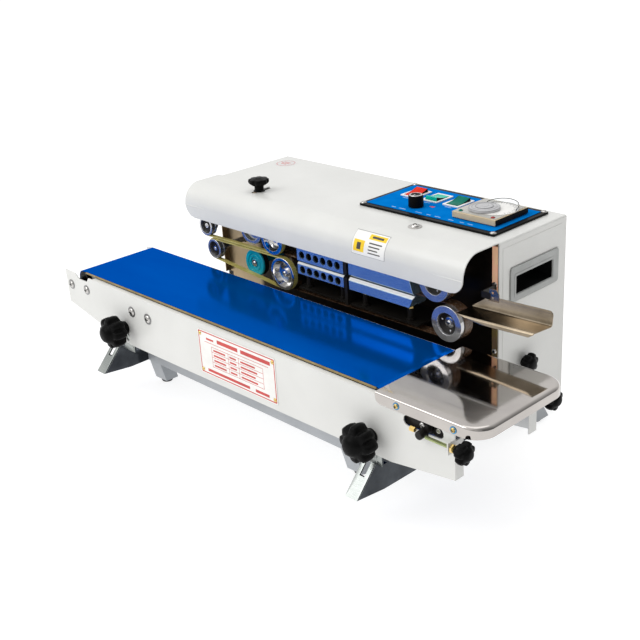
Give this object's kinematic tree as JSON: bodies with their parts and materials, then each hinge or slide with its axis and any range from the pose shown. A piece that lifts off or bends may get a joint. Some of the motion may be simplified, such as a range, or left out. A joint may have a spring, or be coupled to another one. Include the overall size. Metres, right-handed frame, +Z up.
{
  "type": "continuous band sealer",
  "caption": "Bench machine that carries bags on a height-adjustable belt while heated and cooled bands pinch and seal their mouths.",
  "frame": {"origin": "on the bench, under the middle of the machine's overall box", "axes": "+X the way the bags travel, +Y from the conveyor towards the cabinet's back, +Z up"},
  "size_m": [0.841, 0.422, 0.316],
  "materials": {
    "white_paint": "white powder coat",
    "grey_paint": "grey paint",
    "zinc": "yellow zinc plated sheet",
    "steel": "machined or brushed steel",
    "polished_steel": "mirror polished stainless sheet",
    "chrome": "polished chrome plate",
    "dark_steel": "blackened steel",
    "aluminium": "milled aluminium",
    "black_plastic": "moulded black plastic",
    "grey_plastic": "grey plastic",
    "beige_plastic": "beige plastic",
    "blue_panel": "printed plastic overlay",
    "red_plastic": "glossy red plastic",
    "green_plastic": "glossy green plastic",
    "rubber": "black rubber",
    "silicone": "teal silicone",
    "ptfe_brown": "brown coated fibre band",
    "olive_rubber": "olive rubber belt",
    "blue_belt": "glossy blue belt"
  },
  "bodies": {
    "machine": {"cabinet_shell": "white_paint", "base_frame": "grey_paint", "hood": "white_paint", "foot_front_left": "rubber", "foot_front_right": "rubber", "foot_rear_left": "rubber", "foot_rear_right": "rubber", "support_arm_left": "chrome", "support_arm_right": "chrome", "handle_left": "grey_plastic", "handle_right": "grey_plastic", "mounting_plate": "zinc", "bearing_plate": "steel", "sealing_band_lower": "ptfe_brown", "sealing_band_upper": "ptfe_brown", "guide_belt_lower": "olive_rubber", "guide_belt_upper": "olive_rubber", "heater_block_upper": "aluminium", "heater_block_lower": "aluminium", "cooler_block_upper": "aluminium", "cooler_block_lower": "aluminium", "block_carrier": "dark_steel", "outlet_trough": "steel", "control_panel": "blue_panel", "controller_case": "beige_plastic", "drive_motor": "dark_steel", "fan_housing": "black_plastic", "power_inlet": "black_plastic"},
    "conveyor": {"front_panel": "white_paint", "rear_panel": "white_paint", "slider_bed": "steel", "conveyor_belt": "blue_belt", "outlet_tray": "polished_steel", "tension_block_front": "dark_steel", "tension_block_rear": "dark_steel", "conveyor_motor": "dark_steel"},
    "exit_wheel_lower": {"exit_wheel_lower": "steel"},
    "exit_wheel_upper": {"exit_wheel_upper": "steel"},
    "entry_wheel_lower": {"entry_wheel_lower": "chrome"},
    "entry_wheel_upper": {"entry_wheel_upper": "chrome"},
    "guide_roller_lower": {"guide_roller_lower": "steel"},
    "guide_roller_upper": {"guide_roller_upper": "steel"},
    "silicone_wheel": {"silicone_wheel": "silicone"},
    "press_wheel": {"press_wheel": "steel"},
    "press_arm": {"press_arm": "dark_steel"},
    "fan_impeller": {"fan_impeller": "black_plastic"},
    "drive_roller": {"drive_roller": "steel"},
    "idle_roller": {"idle_roller": "steel"},
    "tension_knob_front": {"tension_knob_front": "black_plastic"},
    "tension_knob_rear": {"tension_knob_rear": "black_plastic"},
    "clamp_knob_left": {"clamp_knob_left": "black_plastic"},
    "clamp_knob_right": {"clamp_knob_right": "black_plastic"},
    "end_knob_left": {"end_knob_left": "black_plastic"},
    "end_knob_right": {"end_knob_right": "black_plastic"},
    "pressure_knob": {"pressure_knob": "black_plastic"},
    "power_rocker": {"power_rocker": "red_plastic"},
    "fan_rocker": {"fan_rocker": "green_plastic"},
    "heat_rocker": {"heat_rocker": "green_plastic"},
    "speed_knob": {"speed_knob": "black_plastic"},
    "temperature_dial": {"temperature_dial": "grey_plastic"}
  },
  "joints": [
    {"name": "conveyor_height", "type": "slide", "parent": "machine", "child": "conveyor", "axis": [0, 0, 1], "range_m": [0, 0.018]},
    {"name": "entry_wheel_lower_spin", "type": "hinge", "parent": "machine", "child": "entry_wheel_lower", "pos_m": [-0.0845, 0.02, 0.18935], "axis": [0, 1, 0], "continuous": true},
    {"name": "exit_wheel_lower_spin", "type": "hinge", "parent": "machine", "child": "exit_wheel_lower", "pos_m": [0.2262, 0.02, 0.19065], "axis": [0, 1, 0], "continuous": true},
    {"name": "exit_wheel_upper_spin", "type": "hinge", "parent": "machine", "child": "exit_wheel_upper", "pos_m": [0.2054, 0.02, 0.24135], "axis": [0, 1, 0], "continuous": true},
    {"name": "entry_wheel_upper_spin", "type": "hinge", "parent": "machine", "child": "entry_wheel_upper", "pos_m": [-0.104, 0.02, 0.23865], "axis": [0, 1, 0], "continuous": true},
    {"name": "guide_roller_lower_spin", "type": "hinge", "parent": "machine", "child": "guide_roller_lower", "pos_m": [-0.2453, 0.02, 0.1952], "axis": [0, 1, 0], "continuous": true},
    {"name": "guide_roller_upper_spin", "type": "hinge", "parent": "machine", "child": "guide_roller_upper", "pos_m": [-0.262, 0.02, 0.2298], "axis": [0, 1, 0], "continuous": true},
    {"name": "silicone_wheel_spin", "type": "hinge", "parent": "machine", "child": "silicone_wheel", "pos_m": [-0.1585, 0.02, 0.1878], "axis": [0, 1, 0], "continuous": true},
    {"name": "press_wheel_spin", "type": "hinge", "parent": "press_arm", "child": "press_wheel", "pos_m": [-0.1615, 0.02, 0.242], "axis": [0, 1, 0], "continuous": true},
    {"name": "press_arm_lift", "type": "hinge", "parent": "machine", "child": "press_arm", "pos_m": [-0.212, 0.043, 0.258], "axis": [0, -1, 0], "range_deg": [0, 4]},
    {"name": "fan_spin", "type": "hinge", "parent": "machine", "child": "fan_impeller", "pos_m": [0, 0.11, 0.21], "axis": [0, 1, 0], "continuous": true},
    {"name": "drive_roller_spin", "type": "hinge", "parent": "conveyor", "child": "drive_roller", "pos_m": [-0.3815, -0.09175, 0.1615], "axis": [0, 1, 0], "continuous": true},
    {"name": "idle_roller_spin", "type": "hinge", "parent": "conveyor", "child": "idle_roller", "pos_m": [0.34, -0.09175, 0.1535], "axis": [0, 1, 0], "continuous": true},
    {"name": "tension_turn_front", "type": "hinge", "parent": "conveyor", "child": "tension_knob_front", "pos_m": [0.391, -0.1745, 0.1465], "axis": [1, 0, 0], "range_deg": [-360, 360]},
    {"name": "tension_turn_rear", "type": "hinge", "parent": "conveyor", "child": "tension_knob_rear", "pos_m": [0.391, -0.009, 0.1465], "axis": [1, 0, 0], "range_deg": [-360, 360]},
    {"name": "clamp_turn_left", "type": "hinge", "parent": "machine", "child": "clamp_knob_left", "pos_m": [-0.262, -0.169, 0.113], "axis": [0, -1, 0], "range_deg": [0, 360]},
    {"name": "clamp_turn_right", "type": "hinge", "parent": "machine", "child": "clamp_knob_right", "pos_m": [0.256, -0.169, 0.113], "axis": [0, -1, 0], "range_deg": [0, 360]},
    {"name": "end_knob_turn_left", "type": "hinge", "parent": "machine", "child": "end_knob_left", "pos_m": [-0.294, 0.115, 0.11], "axis": [1, 0, 0], "range_deg": [0, 360]},
    {"name": "end_knob_turn_right", "type": "hinge", "parent": "machine", "child": "end_knob_right", "pos_m": [0.269, 0.115, 0.11], "axis": [1, 0, 0], "range_deg": [0, 360]},
    {"name": "pressure_turn", "type": "hinge", "parent": "machine", "child": "pressure_knob", "pos_m": [-0.165, 0.037, 0.297], "axis": [0, 0, 1], "range_deg": [-360, 360]},
    {"name": "power_rock", "type": "hinge", "parent": "machine", "child": "power_rocker", "pos_m": [0.0475, 0.155, 0.296], "axis": [-1, 0, 0], "range_deg": [0, 18.5]},
    {"name": "fan_rock", "type": "hinge", "parent": "machine", "child": "fan_rocker", "pos_m": [0.0874, 0.155, 0.296], "axis": [1, 0, 0], "range_deg": [0, 18.5]},
    {"name": "heat_rock", "type": "hinge", "parent": "machine", "child": "heat_rocker", "pos_m": [0.126, 0.155, 0.296], "axis": [-1, 0, 0], "range_deg": [0, 18.5]},
    {"name": "speed_turn", "type": "hinge", "parent": "machine", "child": "speed_knob", "pos_m": [0.0872, 0.1093, 0.3], "axis": [0, 0, 1], "range_deg": [-135, 135]},
    {"name": "temperature_turn", "type": "hinge", "parent": "machine", "child": "temperature_dial", "pos_m": [0.191, 0.13, 0.305], "axis": [0, 0, 1], "range_deg": [-135, 135]}
  ],
  "couplings": [
    {"joint": "exit_wheel_lower_spin", "follows": "entry_wheel_lower_spin", "ratio": 1.0525},
    {"joint": "exit_wheel_upper_spin", "follows": "entry_wheel_lower_spin", "ratio": -1.0525},
    {"joint": "entry_wheel_upper_spin", "follows": "entry_wheel_lower_spin", "ratio": -1.1814},
    {"joint": "guide_roller_lower_spin", "follows": "entry_wheel_lower_spin", "ratio": 1.6281},
    {"joint": "guide_roller_upper_spin", "follows": "entry_wheel_lower_spin", "ratio": -1.6281},
    {"joint": "silicone_wheel_spin", "follows": "entry_wheel_lower_spin", "ratio": 1.2116},
    {"joint": "press_wheel_spin", "follows": "entry_wheel_lower_spin", "ratio": -1.0676},
    {"joint": "idle_roller_spin", "follows": "drive_roller_spin", "ratio": 1}
  ]
}
